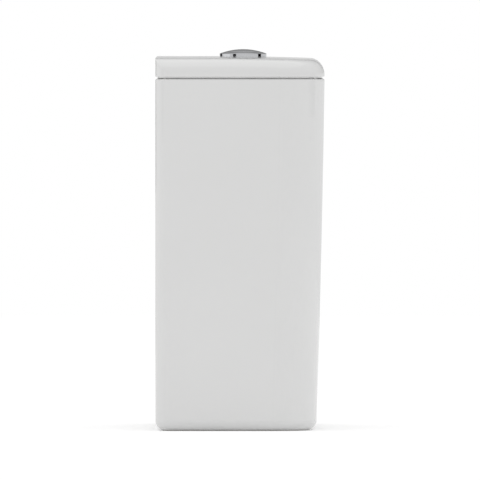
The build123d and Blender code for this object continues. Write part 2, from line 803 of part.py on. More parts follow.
with BuildPart() as bolt_nuts:
    with BuildSketch(Plane.XY.offset(washer_low - bolt_nut_height)):
        with Locations(*bolt_places):
            RegularPolygon(bolt_nut_flats / 2, side_count=6, major_radius=False)
            Circle(bolt_shank_radius + bolt_bore_gap, mode=Mode.SUBTRACT)
    extrude(amount=bolt_nut_height)

# Fill valve: a threaded inlet under the floor and a riser to the valve head
fill_seal_top = floor_top + fill_seal_thick
fill_flange_top = fill_seal_top + fill_flange_thick
inlet_thread_top = inlet_end_above_base + inlet_thread_length
with BuildPart() as fill_shank:
    upright(inlet_end_above_base, inlet_thread_top, inlet_thread_radius, 0, fill_at)
    upright(inlet_thread_top, fill_seal_top, inlet_neck_radius, 0, fill_at)
    upright(fill_seal_top, fill_flange_top, fill_flange_radius, 0, fill_at)
    upright(fill_flange_top, riser_top_height, riser_radius, 0, fill_at)
    upright(inlet_end_above_base, fill_seal_top, inlet_bore_radius, 0, fill_at, Mode.SUBTRACT)
    upright(fill_seal_top, riser_top_height, riser_bore_radius, 0, fill_at, Mode.SUBTRACT)

with BuildPart() as fill_shank_seal:
    upright(floor_top, fill_seal_top, fill_seal_radius, inlet_neck_radius + fit_gap, fill_at)

with BuildPart() as fill_backnut:
    with BuildSketch(Plane.XY.offset(recess_height - fill_nut_height)):
        with Locations(fill_at):
            RegularPolygon(fill_nut_flats / 2, side_count=6, major_radius=False)
            Circle(inlet_neck_radius + fit_gap, mode=Mode.SUBTRACT)
    extrude(amount=fill_nut_height)

with BuildPart() as fill_strainer:
    strainer_low = inlet_end_above_base
    strainer_high = strainer_low + strainer_length
    upright(strainer_low, strainer_high, strainer_radius, 0, fill_at)
    bore = strainer_radius - strainer_wall
    upright(strainer_low, strainer_high - strainer_wall, bore, 0, fill_at, Mode.SUBTRACT)
    slot_low = strainer_high - strainer_rim - strainer_slot_length
    with BuildSketch(Plane.XY.offset(slot_low)):
        with Locations(fill_at):
            with PolarLocations(0, strainer_slot_count // 2, angular_range=180):
                Rectangle(2 * (strainer_radius + strainer_wall), strainer_slot_width)
    extrude(amount=strainer_slot_length, mode=Mode.SUBTRACT)

with BuildPart() as fill_tube:
    quiet_bore = quiet_tube_radius - quiet_tube_wall
    quiet_low = fill_flange_top + quiet_tube_above_flange
    upright(quiet_low, fill_head_base_height, quiet_tube_radius, quiet_bore, fill_at)

fill_head_top = fill_head_base_height + fill_head_height
with BuildPart() as fill_head:
    upright(fill_head_base_height, fill_head_top, fill_head_radius, 0, fill_at)
    riser_socket_top = riser_top_height + fit_gap
    upright(fill_head_base_height, riser_socket_top, riser_radius + fit_gap, 0, fill_at, Mode.SUBTRACT)
    upright(fill_head_base_height, fill_head_top, riser_bore_radius, 0, fill_at, Mode.SUBTRACT)
    chamber_low = fill_head_top - fill_chamber_depth
    upright(chamber_low, fill_head_top, fill_chamber_radius, 0, fill_at, Mode.SUBTRACT)

# Fill cap: screwed on the head, with the ears that carry the lever
cap_top = fill_head_top + fill_cap_height
lever_z = cap_top + lever_pivot_above_cap
lever_x = fill_from_axis - lever_pivot_offset
plunger_at = (lever_x + plunger_offset, valve_y)
lever_ear_y = lever_width / 2 + ear_gap + ear_thick / 2
with BuildPart() as fill_cap:
    upright(fill_head_top, cap_top, fill_cap_radius, 0, fill_at)
    lobes(fill_head_top, cap_top, fill_cap_radius, fill_cap_rib_radius, fill_cap_ribs, fill_at)
    for side in (-1, 1):
        middle_y = valve_y + side * lever_ear_y
        y_range = (middle_y - ear_thick / 2, middle_y + ear_thick / 2)
        x_range = (lever_x - lever_ear_width / 2, lever_x + lever_ear_width / 2)
        block(fill_head_top, lever_z, x_range, y_range)
        across(middle_y, ear_thick, [(lever_x, lever_z, lever_ear_width / 2)])
        hole = [(lever_x, lever_z, pin_radius + ear_bore_gap)]
        across(middle_y, ear_thick + pin_overhang, hole, Mode.SUBTRACT)
    upright(fill_head_top, cap_top, plunger_radius + plunger_gap, 0, plunger_at, Mode.SUBTRACT)

with BuildPart() as fill_lever_pin:
    lever_pin_length = 2 * (lever_ear_y + ear_thick / 2 + pin_overhang)
    across(valve_y, lever_pin_length, [(lever_x, lever_z, pin_radius)])

# Lever: at rest the float hangs low, so the lever points down and holds the plunger in
fall = asin(float_drop / 2 / lever_arm)
link_x = lever_x + lever_arm
lever_plane = Plane(
    origin=(lever_x, valve_y, lever_z), x_dir=(cos(fall), 0, -sin(fall)), z_dir=(-sin(fall), 0, -cos(fall))
)
with BuildPart() as fill_lever:
    lever_end = lever_arm + lever_fork_end
    with BuildSketch(lever_plane.offset(-lever_thick / 2)):
        with Locations((lever_end / 2, 0)):
            Rectangle(lever_end, lever_width)
        with Locations((lever_end, 0)):
            Rectangle(2 * (lever_fork_end + lever_slot_back), lever_slot_width, mode=Mode.SUBTRACT)
    extrude(amount=lever_thick)
    across(valve_y, lever_width, [(lever_x, lever_z, lever_hub_radius)])
    across(valve_y, lever_width, [(lever_x, lever_z, pin_radius + rocker_bore_gap)], Mode.SUBTRACT)

plunger_reach = lever_thick / 2 + touch_gap + plunger_radius
plunger_fall = (plunger_reach + plunger_offset * sin(fall)) / cos(fall) - plunger_reach
with BuildPart() as fill_plunger:
    plunger_low = cap_top - plunger_below_cap_top - plunger_fall
    plunger_ball = lever_z - plunger_reach - plunger_fall
    upright(plunger_low, plunger_ball, plunger_radius, 0, plunger_at)
    with Locations((*plunger_at, plunger_ball)):
        Sphere(plunger_radius)

# Float: an upturned cup that slides on the fill tube, and the screw that sets the water level
float_low = float_base_height - float_drop
float_top = float_low + float_height
float_bore = quiet_tube_radius + float_bore_gap
with BuildPart() as fill_float:
    upright(float_low, float_top, float_radius, float_bore, fill_at)
    top_rim = [e for e in fill_float.edges().filter_by(GeomType.CIRCLE) if e.center().Z > float_low]
    fillet([e for e in top_rim if e.radius == float_radius], float_edge_round)
    ceiling = float_top - float_wall
    outer_wall = float_radius - float_wall
    inner_wall = float_bore + float_wall
    upright(float_low, ceiling, outer_wall, inner_wall, fill_at, Mode.SUBTRACT)

link_at = (link_x, valve_y)
link_top = lever_z + link_above_pivot - float_drop
with BuildPart() as float_link:
    upright(float_top, float_top + link_foot_thick, link_foot_radius, 0, link_at)
    upright(float_top, link_top, link_radius, 0, link_at)

with BuildPart() as level_nuts:
    nut_bore = link_radius + ear_bore_gap
    upper_low = lever_z - float_drop / 2 + lever_thick / 2 + link_nut_gap
    lower_top = lever_z - float_drop / 2 - lever_thick / 2 - link_nut_gap
    upright(upper_low, upper_low + link_nut_height, link_nut_radius, nut_bore, link_at)
    upright(lower_top - link_nut_height, lower_top, link_nut_radius, nut_bore, link_at)

pieces = {
    "cistern_tank": cistern_tank,
    "cistern_lid": cistern_lid,
    "lid_pads": lid_pads,
    "button_bezel": button_bezel,
    "bezel_gasket": bezel_gasket,
    "button_housing": button_housing,
    "button_backnut": button_backnut,
    "full_flush_button": full_flush_button,
    "half_flush_button": half_flush_button,
    "full_push_rod": full_push_rod,
    "half_push_rod": half_push_rod,
    "full_button_spring": full_button_spring,
    "half_button_spring": half_button_spring,
    "outlet_body": outlet_body,
    "outlet_gasket": outlet_gasket,
    "outlet_backnut": outlet_backnut,
    "coupling_seal": coupling_seal,
    "flush_sleeve": flush_sleeve,
    "sleeve_seal": sleeve_seal,
    "overflow_tube": overflow_tube,
    "tube_seal": tube_seal,
    "seal_retainer": seal_retainer,
    "tube_float": tube_float,
    "tube_lift_arm": tube_lift_arm,
    "valve_cage": valve_cage,
    "valve_head": valve_head,
    "rocker_pins": rocker_pins,
    "full_rocker": full_rocker,
    "half_rocker": half_rocker,
    "coupling_bolts": coupling_bolts,
    "bolt_cone_seals": bolt_cone_seals,
    "bolt_washers": bolt_washers,
    "bolt_nuts": bolt_nuts,
    "fill_shank": fill_shank,
    "fill_shank_seal": fill_shank_seal,
    "fill_backnut": fill_backnut,
    "fill_strainer": fill_strainer,
    "fill_tube": fill_tube,
    "fill_head": fill_head,
    "fill_cap": fill_cap,
    "fill_lever": fill_lever,
    "fill_lever_pin": fill_lever_pin,
    "fill_plunger": fill_plunger,
    "fill_float": fill_float,
    "float_link": float_link,
    "level_nuts": level_nuts,
}
for node, piece in pieces.items():
    piece.part.label = node
    export_step(piece.part, f"parts/{node}.step")
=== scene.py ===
# %% [markdown]
# # A toilet cistern, finished for its portrait
#
# The cistern arrives as an exact model: china tank, china lid, chromed button and all the plastic inside.
# This lesson loads that model, keeps its sizes, and gives every piece the surface that it has in a bathroom.
# A few small things that an exact model leaves plain, such as springs and screw threads, are made here.

# %% Load the frame
import math

import bmesh
import bpy
from mathutils import Matrix, Vector


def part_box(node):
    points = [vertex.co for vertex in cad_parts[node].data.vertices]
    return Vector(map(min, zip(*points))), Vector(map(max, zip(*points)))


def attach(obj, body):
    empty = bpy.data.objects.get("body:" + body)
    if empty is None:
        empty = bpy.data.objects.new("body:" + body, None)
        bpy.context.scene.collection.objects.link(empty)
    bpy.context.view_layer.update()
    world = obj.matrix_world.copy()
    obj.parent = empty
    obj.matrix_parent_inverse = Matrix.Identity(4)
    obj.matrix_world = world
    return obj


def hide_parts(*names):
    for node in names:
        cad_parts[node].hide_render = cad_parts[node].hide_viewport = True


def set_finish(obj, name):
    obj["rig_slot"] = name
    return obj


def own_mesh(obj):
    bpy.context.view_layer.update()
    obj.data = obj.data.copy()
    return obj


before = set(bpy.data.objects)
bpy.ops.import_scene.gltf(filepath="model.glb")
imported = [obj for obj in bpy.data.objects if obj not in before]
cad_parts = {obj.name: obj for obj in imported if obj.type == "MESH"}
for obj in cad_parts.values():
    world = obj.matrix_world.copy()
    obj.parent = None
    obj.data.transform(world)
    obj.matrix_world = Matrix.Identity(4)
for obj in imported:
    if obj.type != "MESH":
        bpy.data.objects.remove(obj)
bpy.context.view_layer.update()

# %% [markdown]
# ## The camera
#
# The photograph looks almost level at the narrow side, so that depth and height keep one scale. How far away
# it was taken isn't known. A very long lens at twenty metres leaves only a little perspective.
# The lens follows from the width that the picture covers at the side of the tank, which is the nearest part.
# That width, the middle of the picture and the small rise of the camera were fitted to the photograph.

# %% Place the camera
view_distance = 20.0
near_side = 0.183
picture_width = 0.4954 * view_distance / (view_distance - near_side)
picture_middle = Vector((0.0, 0.0, 0.1950))
camera_rise = math.radians(0.72)

camera_data = bpy.data.cameras.new("portrait_camera")
camera_data.sensor_width = 36.0
camera_data.lens = camera_data.sensor_width * view_distance / picture_width
camera_data.clip_end = 60.0
camera = bpy.data.objects.new("portrait_camera", camera_data)
bpy.context.scene.collection.objects.link(camera)
look = Vector((math.cos(camera_rise), 0.0, -math.sin(camera_rise)))
camera.location = picture_middle - look * view_distance
camera.rotation_euler = look.to_track_quat("-Z", "Y").to_euler()
bpy.context.scene.camera = camera
print("lens in mm:", round(camera_data.lens, 1))

# %% [markdown]
# ## World and lamps
#
# White china shows the light more than its own colour. The side of the tank is an even pale grey in the
# photograph, a little brighter where it turns to the front or the back, and brighter again on top of the lid.
# So the world gives most of the light evenly, one large lamp hangs overhead, and two stand left and right.
# What the camera, the chrome and the glaze see of the world is plain white, without lighting anything more.
# The two lamps at the sides stay out of the reflections, where they would shine through the dark cards below.
# A mirror that sees only white has no shape, though. Photographers stand grey cards round such a thing, and
# so does this lesson, after the floor: pale near the ground, for the edges of the china, and darker above,
# for the dome of the button. Only reflections see the cards, so they cast no shade and hide nothing.
# The real studio isn't known. The strengths here were tried until the picture came near the photograph.

# %% Light the studio
world = bpy.data.worlds.new("studio")
bpy.context.scene.world = world
world.use_nodes = True
sky = world.node_tree
sky.nodes.clear()
ambient = sky.nodes.new("ShaderNodeBackground")
ambient.inputs["Color"].default_value = (1.0, 0.998, 0.996, 1.0)
ambient.inputs["Strength"].default_value = 0.838
white_wall = sky.nodes.new("ShaderNodeBackground")
white_wall.inputs["Color"].default_value = (1.0, 1.0, 1.0, 1.0)
white_wall.inputs["Strength"].default_value = 1.0


def seen_directly(tree):
    """1 for what the camera, a mirror or glass sees, 0 for light that only falls on something."""
    paths = tree.nodes.new("ShaderNodeLightPath")
    either = tree.nodes.new("ShaderNodeMath")
    either.operation = "MAXIMUM"
    tree.links.new(paths.outputs["Is Camera Ray"], either.inputs[0])
    tree.links.new(paths.outputs["Is Glossy Ray"], either.inputs[1])
    any_of = tree.nodes.new("ShaderNodeMath")
    any_of.operation = "MAXIMUM"
    tree.links.new(either.outputs[0], any_of.inputs[0])
    tree.links.new(paths.outputs["Is Transmission Ray"], any_of.inputs[1])
    return any_of.outputs[0]


choose = sky.nodes.new("ShaderNodeMixShader")
sky.links.new(seen_directly(sky), choose.inputs["Fac"])
sky.links.new(ambient.outputs[0], choose.inputs[1])
sky.links.new(white_wall.outputs[0], choose.inputs[2])
sky_output = sky.nodes.new("ShaderNodeOutputWorld")
sky.links.new(choose.outputs[0], sky_output.inputs["Surface"])

softboxes = {
    "overhead": ((0.0, 0.0, 2.6), (3.0, 3.0), 7.0),
    "front_side": ((0.0, -2.6, 0.9), (2.2, 2.2), 2.5),
    "wall_side": ((0.0, 2.6, 0.9), (2.2, 2.2), 3.5),
}
for name, (place, size, watts) in softboxes.items():
    lamp_data = bpy.data.lights.new(name, "AREA")
    lamp_data.shape = "RECTANGLE"
    lamp_data.size, lamp_data.size_y = size
    lamp_data.energy = watts
    lamp = bpy.data.objects.new(name, lamp_data)
    bpy.context.scene.collection.objects.link(lamp)
    lamp.location = place
    lamp.rotation_euler = (Vector((0.0, 0.0, 0.2)) - Vector(place)).to_track_quat("-Z", "Y").to_euler()
    lamp.visible_glossy = name == "overhead"
bpy.context.scene.view_settings.view_transform = "Standard"
print("lamps:", len(softboxes))

# %% [markdown]
# ## Helpers for meshes
#
# Every new piece starts as a bmesh: an outline of a few points, turned, extruded or bevelled.
# One helper turns the bmesh into an object, merges doubled points, makes its faces look outward, smooths the
# shallow angles and hangs it on the part of the cistern that it moves with. Sizes are given in millimetres.

# %% Mesh helpers
MM = 0.001


def finish_piece(bm, name, body, slot, smooth_below=35.0):
    """Make the object, facing outward and smooth where its faces meet at a shallow angle."""
    bmesh.ops.remove_doubles(bm, verts=bm.verts, dist=0.002 * MM)
    bmesh.ops.recalc_face_normals(bm, faces=bm.faces)
    mesh = bpy.data.meshes.new(name)
    bm.to_mesh(mesh)
    bm.free()
    mesh.shade_smooth()
    mesh.set_sharp_from_angle(angle=math.radians(smooth_below))
    piece = bpy.data.objects.new(name, mesh)
    bpy.context.scene.collection.objects.link(piece)
    if body:
        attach(piece, body)
        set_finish(piece, slot)
    print(name, "faces:", len(mesh.polygons))
    return piece


def outline(bm, points, place, closed):
    """Draw a profile of (radius, height) points beside an upright axis."""
    x, y = place
    corners = [bm.verts.new(((x + r) * MM, y * MM, z * MM)) for r, z in points]
    ends = corners[1:] + corners[:1] if closed else corners[1:]
    return corners + [bm.edges.new(pair) for pair in zip(corners, ends)]


def turn(bm, points, place, closed=True, steps=64):
    """Turn a profile once about its axis, as a lathe does."""
    geom = outline(bm, points, place, closed)
    centre = (place[0] * MM, place[1] * MM, 0.0)
    bmesh.ops.spin(bm, geom=geom, cent=centre, axis=(0, 0, 1), angle=math.tau, steps=steps, use_merge=True)


def wind(bm, points, place, pitch, turns, steps=32):
    """Carry a small closed outline round and upward, as a screw thread or a spring is wound."""
    geom = outline(bm, points, place, closed=True)
    centre = (place[0] * MM, place[1] * MM, 0.0)
    rise = (0.0, 0.0, pitch * MM / steps)
    count = round(steps * turns)
    angle = math.tau * turns
    bmesh.ops.spin(bm, geom=geom, cent=centre, axis=(0, 0, 1), dvec=rise, angle=angle, steps=count)


def close_ends(bm):
    """Cap every opening that is left, such as the two ends of a wound wire."""
    bmesh.ops.holes_fill(bm, edges=[edge for edge in bm.edges if edge.is_boundary], sides=0)


def middle_and_heights(node):
    """The upright axis of a CAD node, and its lowest and highest point, in millimetres."""
    low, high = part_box(node)
    middle = (low + high) / 2 / MM
    return (middle.x, middle.y), low.z / MM, high.z / MM


# %% [markdown]
# ## The floor
#
# A plain pale floor carries the cistern and takes its soft shadow. It is a flat disc, wide enough that its
# edge is far away. The camera also sees a little white light from it, so that it joins the white background.

# %% Lay the floor
floor_radius = 7.0
floor_bm = bmesh.new()
bmesh.ops.create_circle(floor_bm, cap_ends=True, segments=96, radius=floor_radius)
floor = finish_piece(floor_bm, "floor", None, None)

floor_material = bpy.data.materials.new("pale_floor")
floor_material.use_nodes = True
floor_tree = floor_material.node_tree
floor_shader = floor_tree.nodes["Principled BSDF"]
floor_shader.inputs["Base Color"].default_value = (0.92, 0.92, 0.92, 1.0)
floor_shader.inputs["Roughness"].default_value = 0.9
floor_shader.inputs["Specular IOR Level"].default_value = 0.0
floor_shader.inputs["Emission Strength"].default_value = 0.235
floor_tree.links.new(seen_directly(floor_tree), floor_shader.inputs["Emission Color"])
floor.data.materials.append(floor_material)

# %% [markdown]
# ## Springs under the two caps
#
# Each cap is lifted by a coil of stainless wire, 0.7 mm thick. In the exact model it is a plain sleeve. A
# spring could be made with the Screw modifier. Spinning a small ring of points while it rises does the same
# with one operator, and lets the first and last turns lie flat, as they do on a ground compression spring.

# %% Wind the springs
wire_radius = 0.35
wire_sides = 10
steps_per_turn = 28
closed_turns = 1.5
open_turns = 6.0


def wound_spring(name, node):
    """A compression spring in place of the plain sleeve of the exact model."""
    axis, low, high = middle_and_heights(node)
    reach = (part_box(node)[1].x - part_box(node)[0].x) / MM / 2 - wire_radius
    closed_rise = 2 * wire_radius
    open_rise = (high - low - closed_rise - 2 * closed_rise * closed_turns) / open_turns
    bm = bmesh.new()
    ring = bmesh.ops.create_circle(bm, cap_ends=False, segments=wire_sides, radius=wire_radius * MM)["verts"]
    for corner in ring:
        across, up = corner.co.x, corner.co.y
        corner.co = (axis[0] * MM + reach * MM + across, axis[1] * MM, (low + wire_radius) * MM + up)
    geom = ring + list({edge for corner in ring for edge in corner.link_edges})
    centre = (axis[0] * MM, axis[1] * MM, 0.0)
    stretches = ((closed_turns, closed_rise), (open_turns, open_rise), (closed_turns, closed_rise))
    for turns, rise in stretches:
        spun = bmesh.ops.spin(
            bm, geom=geom, cent=centre, axis=(0, 0, 1), dvec=(0, 0, rise * MM / steps_per_turn),
            angle=math.tau * turns, steps=round(steps_per_turn * turns),
        )
        geom = spun["geom_last"]
    close_ends(bm)
    spring = finish_piece(bm, name, "lid", "spring_steel")
    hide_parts(node)
    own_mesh(spring)
    return spring


full_spring = wound_spring("full_button_coil", "full_button_spring")
half_spring = wound_spring("half_button_coil", "half_button_spring")

# %% [markdown]
# ## Bolts with rolled threads
#
# Two zinc plated M8 bolts clamp the tank to the pan. Each has a hexagon head on a round flange, a plain shank
# through the floor and a thread below it. The core is turned to the bottom of the thread, and one tooth is
# wound round it at the real pitch. A picture of a thread would look flat from the side.

# %% Make the bolts
_, bolt_low, bolt_high = middle_and_heights("coupling_bolts")
_, _, cone_top = middle_and_heights("bolt_cone_seals")
bolt_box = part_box("coupling_bolts")
bolt_y = (bolt_box[0].y + bolt_box[1].y) / 2 / MM
bolt_flange = 11.0
bolt_spread = bolt_box[1].x / MM - bolt_flange
thread_length = 33.0
thread_top = bolt_low + thread_length
thread_radius, thread_root, thread_pitch = 4.0, 3.4, 1.25
bolt_point = 0.6
edge_break = 0.3
shank_radius, flange_top = 3.8, cone_top + 1.5
head_corner, head_corner_cut = 8.0, 0.9


def tooth(root, crest, low, pitch):
    """The outline of one thread tooth, set a little into the core so that no gap shows."""
    inside = root - 0.1
    crest_low, crest_high, foot_high = low + 0.4 * pitch, low + 0.55 * pitch, low + 0.95 * pitch
    return [(inside, low), (crest, crest_low), (crest, crest_high), (inside, foot_high)]


def hexagon(bm, place, low, high, across_corners, corner_cut):
    """A hexagon block whose corners are cut back, as on a turned nut or bolt head."""
    made = bmesh.ops.create_cone(
        bm, cap_ends=True, segments=6, radius1=across_corners * MM, radius2=across_corners * MM,
        depth=(high - low) * MM,
    )["verts"]
    bmesh.ops.translate(bm, verts=made, vec=(place[0] * MM, place[1] * MM, (low + high) / 2 * MM))
    bmesh.ops.bevel(
        bm, geom=made, offset=corner_cut * MM, segments=2, profile=0.5, affect="VERTICES", material=-1,
    )


bolts_bm = bmesh.new()
for side in (-1, 1):
    bolt_axis = (side * bolt_spread, bolt_y)
    core = [
        (0.0, bolt_low), (thread_root - bolt_point, bolt_low), (thread_root, bolt_low + bolt_point),
        (thread_root, thread_top), (shank_radius, thread_top + 0.4), (shank_radius, cone_top),
        (bolt_flange - edge_break, cone_top), (bolt_flange, cone_top + edge_break),
        (bolt_flange, flange_top - edge_break), (bolt_flange - edge_break, flange_top), (0.0, flange_top),
    ]
    turn(bolts_bm, core, bolt_axis, closed=False, steps=48)
    bolt_turns = (thread_length - 1.0) / thread_pitch - 1
    bolt_tooth = tooth(thread_root, thread_radius, bolt_low + bolt_point, thread_pitch)
    wind(bolts_bm, bolt_tooth, bolt_axis, thread_pitch, bolt_turns)
    hexagon(bolts_bm, bolt_axis, flange_top - 0.2, bolt_high, head_corner, head_corner_cut)
close_ends(bolts_bm)
bolts = finish_piece(bolts_bm, "threaded_bolts", "tank", "zinc_steel", smooth_below=28.0)
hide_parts("coupling_bolts")

# %% [markdown]
# ## Nuts
#
# The nuts that hold the bolts and the water inlet are turned from hexagon bar, so their corners are cut back
# and a shallow cone leads into the bore. The exact model has plain prisms. Here a six-sided cylinder gets its
# corners bevelled, and a low ring is turned round the bore.

# %% Make the nuts
_, nut_low, nut_high = middle_and_heights("bolt_nuts")
nut_width, backnut_width = 13.0, 30.0
corner_over_flat = 1 / math.sqrt(3)
nuts_bm = bmesh.new()
for side in (-1, 1):
    nut_axis = (side * bolt_spread, bolt_y)
    hexagon(nuts_bm, nut_axis, nut_low + 0.3, nut_high, nut_width * corner_over_flat, 0.8)
    face = [(3.9, nut_low + 0.5), (4.2, nut_low), (6.1, nut_low), (6.3, nut_low + 0.5)]
    turn(nuts_bm, face, nut_axis, steps=48)
bolt_nuts = finish_piece(nuts_bm, "chamfered_bolt_nuts", "tank", "zinc_steel", smooth_below=28.0)
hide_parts("bolt_nuts")

inlet_axis, backnut_low, backnut_high = middle_and_heights("fill_backnut")
backnut_bm = bmesh.new()
hexagon(backnut_bm, inlet_axis, backnut_low + 0.6, backnut_high, backnut_width * corner_over_flat, 1.8)
face = [(10.5, backnut_low + 0.8), (10.9, backnut_low), (14.0, backnut_low), (14.5, backnut_low + 0.8)]
turn(backnut_bm, face, inlet_axis)
fill_backnut = finish_piece(backnut_bm, "chamfered_fill_backnut", "tank", "brass", smooth_below=28.0)
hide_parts("fill_backnut")

# %% [markdown]
# ## The threaded tails
#
# The outlet and the water inlet are plastic mouldings with threads cast on their tails: a coarse one on the
# outlet, for a nut that is turned by hand, and a half-inch pipe thread on the inlet, at 14 turns to the inch.
# Both bodies are round, so they are turned in one piece with their bores, and their teeth are wound on.

# %% Make the outlet body
outlet_axis, outlet_low, outlet_high = middle_and_heights("outlet_body")
_, outlet_gasket_low, _ = middle_and_heights("outlet_gasket")
gasket_thickness = 3.0
outlet_seat = outlet_gasket_low + gasket_thickness
outlet_crest, outlet_root, outlet_pitch = 29.5, 28.7, 3.0
outlet_bore, outlet_flange = 26.0, 46.0
outlet_bm = bmesh.new()
outlet_profile = [
    (outlet_bore, outlet_low), (outlet_root - 0.5, outlet_low), (outlet_root, outlet_low + 0.5),
    (outlet_root, outlet_seat - 4.0), (outlet_crest, outlet_seat - 3.0), (outlet_crest, outlet_seat),
    (outlet_flange - 0.4, outlet_seat), (outlet_flange, outlet_seat + 0.4),
    (outlet_flange, outlet_high - 1.0), (outlet_flange - 0.3, outlet_high - 0.3),
    (outlet_flange - 1.0, outlet_high),
    (outlet_bore + 0.6, outlet_high), (outlet_bore, outlet_high - 0.6),
]
turn(outlet_bm, outlet_profile, outlet_axis, steps=96)
outlet_turns = (outlet_seat - 3.5 - outlet_low - 1.0) / outlet_pitch - 1
outlet_tooth = tooth(outlet_root, outlet_crest, outlet_low + 1.0, outlet_pitch)
wind(outlet_bm, outlet_tooth, outlet_axis, outlet_pitch, outlet_turns, steps=64)
close_ends(outlet_bm)
outlet = finish_piece(outlet_bm, "threaded_outlet", "tank", "white_plastic", smooth_below=28.0)
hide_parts("outlet_body")

# %% Make the water inlet and riser
_, inlet_low, riser_top = middle_and_heights("fill_shank")
inlet_thread_top = inlet_low + 28.0
_, shank_seal_low, _ = middle_and_heights("fill_shank_seal")
fill_seat = shank_seal_low + gasket_thickness
inlet_crest, inlet_root, inlet_pitch = 10.48, 9.6, 25.4 / 14
inlet_bore, inlet_plain, inlet_flange, flange_thickness = 6.5, 10.2, 18.0, 5.0
riser_bore, riser_radius = 4.0, 8.0
riser_foot = fill_seat + flange_thickness
inlet_bm = bmesh.new()
inlet_profile = [
    (inlet_bore, inlet_low), (inlet_root - 0.6, inlet_low), (inlet_root, inlet_low + 0.6),
    (inlet_root, inlet_thread_top), (inlet_plain, inlet_thread_top + 0.6), (inlet_plain, fill_seat),
    (inlet_flange - 0.4, fill_seat), (inlet_flange, fill_seat + 0.4), (inlet_flange, riser_foot - 0.4),
    (inlet_flange - 0.4, riser_foot), (riser_radius + 0.6, riser_foot), (riser_radius, riser_foot + 0.6),
    (riser_radius, riser_top), (riser_bore, riser_top), (riser_bore, fill_seat), (inlet_bore, fill_seat),
]
turn(inlet_bm, inlet_profile, inlet_axis)
inlet_turns = (inlet_thread_top - inlet_low - 1.2) / inlet_pitch - 1
inlet_tooth = tooth(inlet_root, inlet_crest, inlet_low + 0.6, inlet_pitch)
wind(inlet_bm, inlet_tooth, inlet_axis, inlet_pitch, inlet_turns, steps=48)
close_ends(inlet_bm)
inlet = finish_piece(inlet_bm, "threaded_inlet", "tank", "white_plastic", smooth_below=28.0)
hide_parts("fill_shank")

# %% Cut the thread of the button housing
housing_axis, housing_low, _ = middle_and_heights("button_housing")
_, housing_nut_low, _ = middle_and_heights("button_backnut")
housing_bm = bmesh.new()
housing_pitch = 2.0
housing_turns = (housing_nut_low - housing_low - 0.6) / housing_pitch - 1
housing_tooth = tooth(21.0, 21.5, housing_low + 0.3, housing_pitch)
wind(housing_bm, housing_tooth, housing_axis, housing_pitch, housing_turns, steps=64)
close_ends(housing_bm)
housing_thread = finish_piece(housing_bm, "housing_thread", "lid", "white_plastic", smooth_below=28.0)

# %% [markdown]
# ## The grey cards
#
# A circle of points is extruded upward into a wall, open at the top and the bottom. Its colour is a ramp over
# its height. Three narrow dark cards and a white one stand inside it, because the rim of a button shows dark
# and bright marks where it mirrors such things. The switches for ray visibility keep all of them out of the
# picture and out of the light, and leave them in the reflections. Their places and tones were tried until the
# marks came near those in the photograph, so they stand for no known surroundings.

# %% Stand the cards
wall_radius = 4.0
wall_height = 6.0
narrow_radius = wall_radius - 0.3
tones_up_the_wall = [
    (0.0, 0.80), (0.35, 0.80), (0.5, 0.68), (0.64, 0.42), (0.9, 0.28), (1.5, 0.25), (2.1, 0.37), (2.8, 0.31),
    (3.7, 0.42), (6.0, 0.60),
]


def seen_in_reflections_only(card):
    """Leave a stage piece to mirrors alone."""
    card.visible_camera = False
    card.visible_diffuse = False
    card.visible_transmission = False
    card.visible_shadow = False


def card_finish(name, tones_by_height):
    """A card that glows evenly from side to side, with a tone for each height in metres."""
    material = bpy.data.materials.new(name)
    material.use_nodes = True
    tree = material.node_tree
    tree.nodes.clear()
    place = tree.nodes.new("ShaderNodeTexCoord")
    parts = tree.nodes.new("ShaderNodeSeparateXYZ")
    tree.links.new(place.outputs["Object"], parts.inputs["Vector"])
    share = tree.nodes.new("ShaderNodeMapRange")
    share.inputs["From Max"].default_value = tones_by_height[-1][0]
    tree.links.new(parts.outputs["Z"], share.inputs["Value"])
    ramp = tree.nodes.new("ShaderNodeValToRGB")
    tree.links.new(share.outputs["Result"], ramp.inputs["Fac"])
    for height, tone in tones_by_height[1:-1]:
        ramp.color_ramp.elements.new(height / tones_by_height[-1][0])
    for stop, (height, tone) in zip(ramp.color_ramp.elements, tones_by_height):
        stop.position = height / tones_by_height[-1][0]
        stop.color = (tone, tone, tone, 1.0)
    glow = tree.nodes.new("ShaderNodeEmission")
    tree.links.new(ramp.outputs["Color"], glow.inputs["Color"])
    end = tree.nodes.new("ShaderNodeOutputMaterial")
    tree.links.new(glow.outputs[0], end.inputs["Surface"])
    return material


wall_bm = bmesh.new()
bmesh.ops.create_circle(wall_bm, cap_ends=False, segments=96, radius=wall_radius)
raised_edge = bmesh.ops.extrude_edge_only(wall_bm, edges=wall_bm.edges)["geom"]
top_ring = [part for part in raised_edge if isinstance(part, bmesh.types.BMVert)]
bmesh.ops.translate(wall_bm, verts=top_ring, vec=(0.0, 0.0, wall_height))
card_wall = finish_piece(wall_bm, "card_wall", None, None)
card_wall.data.materials.append(card_finish("grey_card", tones_up_the_wall))
seen_in_reflections_only(card_wall)

